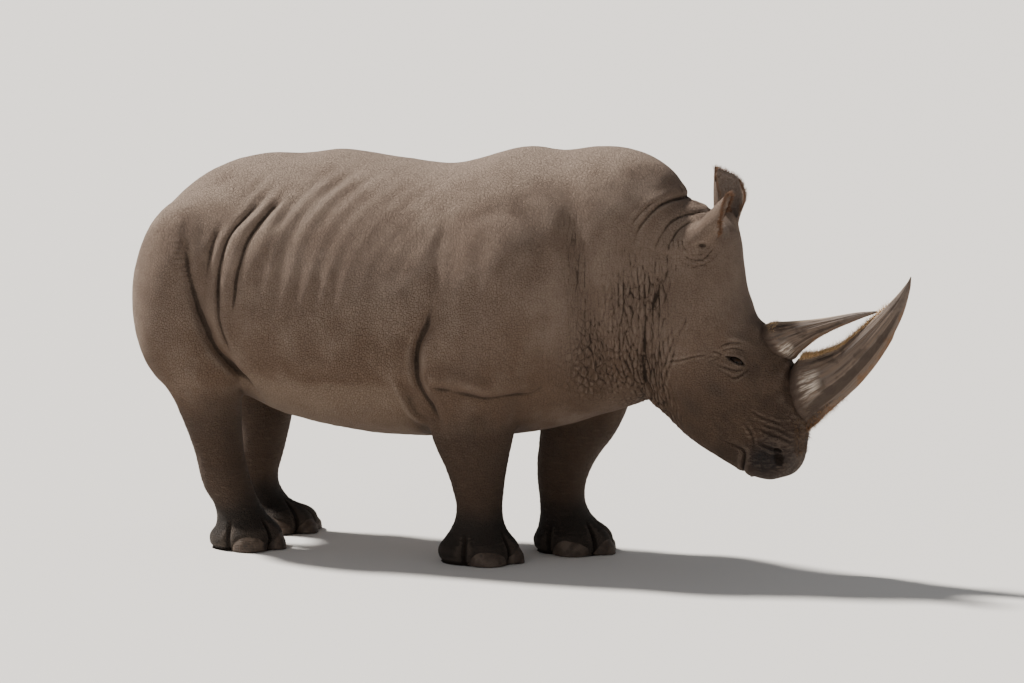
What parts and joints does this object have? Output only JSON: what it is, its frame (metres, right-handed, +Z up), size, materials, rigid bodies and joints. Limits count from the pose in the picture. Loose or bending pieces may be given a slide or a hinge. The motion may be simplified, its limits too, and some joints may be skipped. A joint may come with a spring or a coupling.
{
  "type": "rhinoceros",
  "caption": "Still, life-size adult white rhinoceros standing square with its head lowered, with front and rear horns, cupped ears, short hanging tail and three nails on each foot.",
  "frame": {"origin": "on the floor under the middle of the bounding box, in the animal's middle plane", "axes": "+X to the horns, +Y to the animal's left, +Z up"},
  "size_m": [3.4327, 0.949, 1.7252],
  "materials": {
    "hide": "matte",
    "foot_hide": "matte",
    "ear_hide": "matte",
    "tail_hide": "matte",
    "horn": "matte",
    "toenail": "satin",
    "eye": "gloss"
  },
  "bodies": {
    "root": {"head": "hide", "lower_jaw": "hide", "neck": "hide", "trunk": "hide", "upper_leg_fore_right": "hide", "upper_leg_fore_left": "hide", "upper_leg_hind_right": "hide", "upper_leg_hind_left": "hide", "lower_leg_fore_right": "hide", "lower_leg_fore_left": "hide", "lower_leg_hind_right": "hide", "lower_leg_hind_left": "hide", "foot_fore_right": "foot_hide", "foot_fore_left": "foot_hide", "foot_hind_right": "foot_hide", "foot_hind_left": "foot_hide", "tail": "tail_hide", "ear_right": "ear_hide", "ear_left": "ear_hide", "horn_front": "horn", "horn_rear": "horn", "eye_right": "eye", "eye_left": "eye", "nail_fore_right_inner": "toenail", "nail_fore_right_middle": "toenail", "nail_fore_right_outer": "toenail", "nail_fore_left_inner": "toenail", "nail_fore_left_middle": "toenail", "nail_fore_left_outer": "toenail", "nail_hind_right_inner": "toenail", "nail_hind_right_middle": "toenail", "nail_hind_right_outer": "toenail", "nail_hind_left_inner": "toenail", "nail_hind_left_middle": "toenail", "nail_hind_left_outer": "toenail"}
  },
  "joints": []
}
